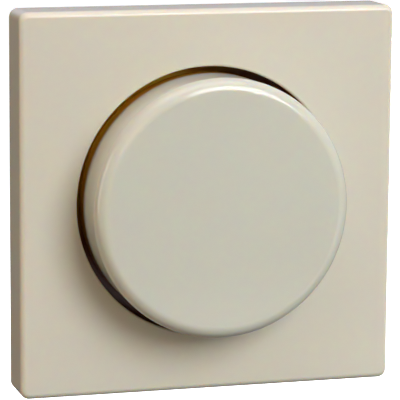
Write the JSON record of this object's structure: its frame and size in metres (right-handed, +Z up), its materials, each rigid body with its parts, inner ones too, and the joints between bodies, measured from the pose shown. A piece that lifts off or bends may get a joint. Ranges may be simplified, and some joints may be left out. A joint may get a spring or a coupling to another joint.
{
  "type": "rotary dimmer switch",
  "caption": "Square centre plate with a round turn-and-push knob, on a snap-in dimmer insert with rear wire clamps.",
  "frame": {"origin": "on the knob's axis, in the plane of the centre plate's rear rim, which rests on the wall frame", "axes": "+Z up; -Y out of the wall, towards the user; +Y into the wall box; +X to the user's right"},
  "size_m": [0.055, 0.0399, 0.055],
  "materials": {
    "plate_plastic": "glossy cream moulding",
    "knob_plastic": "glossy cream moulding, slightly greyer than the plate",
    "hub_plastic": "natural white moulding",
    "housing_plastic": "fine-grained white heat-resistant moulding",
    "terminal_plastic": "pale grey moulding",
    "rotor_plastic": "white moulding",
    "dark_plastic": "dark grey moulding",
    "component_black": "black moulded package",
    "plunger_plastic": "red moulding",
    "frame_steel": "zinc-plated sheet steel",
    "fastener_steel": "zinc-plated",
    "spring_steel": "bright spring steel",
    "spindle_nylon": "glass-filled nylon",
    "pot_steel": "dull plated cup",
    "brass": "bright brass",
    "contact_metal": "gold-coloured contact bronze",
    "track_board": "brown laminate",
    "carbon": "matt printed carbon",
    "pin_metal": "tinned",
    "board_laminate": "green solder resist",
    "pad_rubber": "grey silicone sheet",
    "aluminium": "bright aluminium",
    "core_powder": "yellow epoxy coating",
    "copper": "enamelled copper wire",
    "capacitor_yellow": "yellow moulded box",
    "capacitor_red": "red-brown dipped coating",
    "can_sleeve": "blue sleeve over an aluminium can",
    "resistor_body": "tan lacquer",
    "fuse_glass": "clear glass"
  },
  "bodies": {
    "base": {"cover_plate": "plate_plastic", "plate_nut": "fastener_steel", "plate_washer": "fastener_steel", "pot_bush": "brass", "pot_case": "pot_steel", "pot_track": "track_board", "carbon_track": "carbon", "pot_terminals": "pin_metal", "switch_case": "dark_plastic", "switch_lid": "dark_plastic", "return_spring": "spring_steel", "switch_contacts": "contact_metal", "support_frame": "frame_steel", "side_latches": "spring_steel", "latch_rivets": "fastener_steel", "housing_lid": "housing_plastic", "housing_base": "housing_plastic", "housing_screws": "fastener_steel", "circuit_board": "board_laminate", "triac_tab": "pin_metal", "triac_body": "component_black", "triac_leads": "pin_metal", "thermal_pad": "pad_rubber", "triac_rivet": "aluminium", "choke_core": "core_powder", "choke_winding": "copper", "x2_capacitor": "capacitor_yellow", "film_capacitor": "capacitor_red", "smoothing_capacitor": "can_sleeve", "resistors": "resistor_body", "control_chip": "component_black", "fuse_tube": "fuse_glass", "fuse_caps": "pin_metal", "fuse_wire": "pin_metal", "fuse_clips": "brass", "terminal_block": "terminal_plastic", "terminal_cages": "brass", "terminal_screws": "fastener_steel", "terminal_bars": "brass"},
    "wiper": {"wiper_rotor": "rotor_plastic", "wiper_contact": "contact_metal"},
    "knob": {"knob_cap": "knob_plastic", "knob_hub": "hub_plastic", "hub_spring": "spring_steel", "spindle": "spindle_nylon", "spindle_clip": "spring_steel"},
    "plunger": {"switch_plunger": "plunger_plastic", "contact_bridge": "contact_metal"}
  },
  "joints": [
    {"name": "knob_turn", "type": "hinge", "parent": "base", "child": "wiper", "pos_m": [0, 0, 0], "axis": [0, 1, 0], "range_deg": [-140, 140]},
    {"name": "knob_push", "type": "slide", "parent": "wiper", "child": "knob", "axis": [0, 1, 0], "range_m": [0, 0.0015], "stiffness_N_per_m": 900, "springref_m": -0.002},
    {"name": "plunger_push", "type": "slide", "parent": "base", "child": "plunger", "axis": [0, 1, 0], "range_m": [0, 0.0015], "deforming": ["return_spring"]}
  ],
  "couplings": [
    {"joint": "plunger_push", "follows": "knob_push", "ratio": 1}
  ]
}
